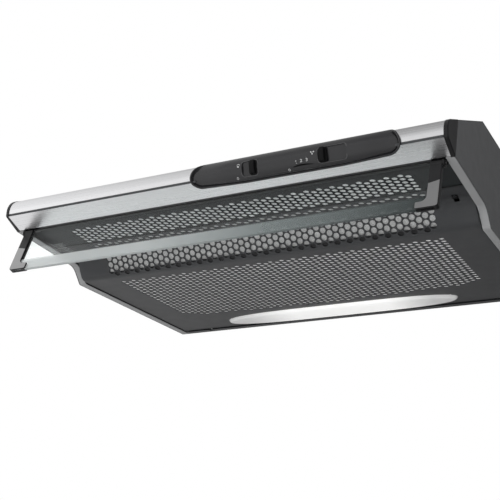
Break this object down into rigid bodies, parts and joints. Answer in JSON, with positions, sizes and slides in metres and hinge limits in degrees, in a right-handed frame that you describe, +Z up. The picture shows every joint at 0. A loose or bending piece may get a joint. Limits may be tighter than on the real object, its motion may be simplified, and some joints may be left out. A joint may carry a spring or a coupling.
{
  "type": "built-under cooker hood",
  "caption": "Low cooker hood for under a wall cabinet, with a swing-out glass visor, a brushed front rail with sliders, and a hinged perforated grille.",
  "frame": {"origin": "middle of the lower rear edge, on the plane of the wall", "axes": "+X to the right seen from the front, +Y back into the wall, +Z up"},
  "size_m": [0.598, 0.4621, 0.1953],
  "materials": {
    "steel_grey": "satin dark grey paint",
    "brushed_steel": "brushed along its length",
    "black_plastic": "fine satin",
    "bezel_gloss": "gloss black",
    "visor_glass": "clear with a faint grey-green tint",
    "zinc_steel": "zinc plate",
    "filter_mesh": "bright mesh and sheet",
    "lens_white": "translucent white",
    "lamp_glass": "frosted",
    "impeller_white": "moulded",
    "motor_metal": "bare casting",
    "capacitor_white": "moulded"
  },
  "bodies": {
    "hood": {"canopy_sheet": "steel_grey", "rear_panel": "steel_grey", "side_panel_left": "steel_grey", "side_panel_right": "steel_grey", "front_beam": "steel_grey", "front_grille": "steel_grey", "front_rail": "brushed_steel", "end_cap_left": "black_plastic", "end_cap_right": "black_plastic", "control_bezel": "bezel_gloss", "light_switch": "black_plastic", "speed_switch": "black_plastic", "visor_bracket_left": "zinc_steel", "visor_bracket_right": "zinc_steel", "visor_pin_left": "zinc_steel", "visor_pin_right": "zinc_steel", "hinge_bracket_left": "zinc_steel", "hinge_bracket_right": "zinc_steel", "hinge_pin_left": "zinc_steel", "hinge_pin_right": "zinc_steel", "lamp_reflector": "filter_mesh", "lamp_bulb": "lamp_glass", "lamp_holder": "black_plastic", "blower_scroll": "black_plastic", "scroll_cover": "black_plastic", "motor": "motor_metal", "outlet_spigot": "black_plastic", "flap_seat": "black_plastic", "flap_pin_left": "zinc_steel", "flap_pin_right": "zinc_steel", "terminal_box": "black_plastic", "cable_gland": "black_plastic", "capacitor": "capacitor_white"},
    "visor": {"visor_glass": "visor_glass", "visor_arm_left": "black_plastic", "visor_arm_right": "black_plastic"},
    "door": {"grille_door": "steel_grey", "grease_filter": "filter_mesh", "filter_rod_rear": "zinc_steel", "filter_rod_front": "zinc_steel", "lamp_lens": "lens_white", "latch_guide_left": "black_plastic", "latch_guide_right": "black_plastic"},
    "latch_left": {"grille_latch_left": "black_plastic"},
    "latch_right": {"grille_latch_right": "black_plastic"},
    "light_knob": {"light_slider": "bezel_gloss"},
    "speed_knob": {"speed_slider": "bezel_gloss"},
    "impeller": {"impeller_wheel": "impeller_white", "motor_shaft": "zinc_steel"},
    "flap_left": {"outlet_flap_left": "black_plastic"},
    "flap_right": {"outlet_flap_right": "black_plastic"}
  },
  "joints": [
    {"name": "visor_hinge", "type": "hinge", "parent": "hood", "child": "visor", "pos_m": [0, -0.429, 0.0265], "axis": [1, 0, 0], "range_deg": [0, 105]},
    {"name": "door_hinge", "type": "hinge", "parent": "hood", "child": "door", "pos_m": [0, -0.0054, 0.0038], "axis": [1, 0, 0], "range_deg": [0, 85]},
    {"name": "latch_left_slide", "type": "slide", "parent": "door", "child": "latch_left", "axis": [0, 1, 0], "range_m": [0, 0.008], "stiffness_N_per_m": 150},
    {"name": "latch_right_slide", "type": "slide", "parent": "door", "child": "latch_right", "axis": [0, 1, 0], "range_m": [0, 0.008], "stiffness_N_per_m": 150},
    {"name": "light_slide", "type": "slide", "parent": "hood", "child": "light_knob", "axis": [1, 0, 0], "range_m": [-0.009, 0]},
    {"name": "speed_slide", "type": "slide", "parent": "hood", "child": "speed_knob", "axis": [1, 0, 0], "range_m": [0, 0.023]},
    {"name": "impeller_spin", "type": "hinge", "parent": "hood", "child": "impeller", "pos_m": [-0.15, -0.142, 0.08], "axis": [0, 0, 1], "continuous": true},
    {"name": "flap_left_hinge", "type": "hinge", "parent": "hood", "child": "flap_left", "pos_m": [-0.0045, -0.088, 0.145], "axis": [0, 1, 0], "range_deg": [0, 75]},
    {"name": "flap_right_hinge", "type": "hinge", "parent": "hood", "child": "flap_right", "pos_m": [0.0045, -0.088, 0.145], "axis": [0, -1, 0], "range_deg": [0, 75]}
  ]
}
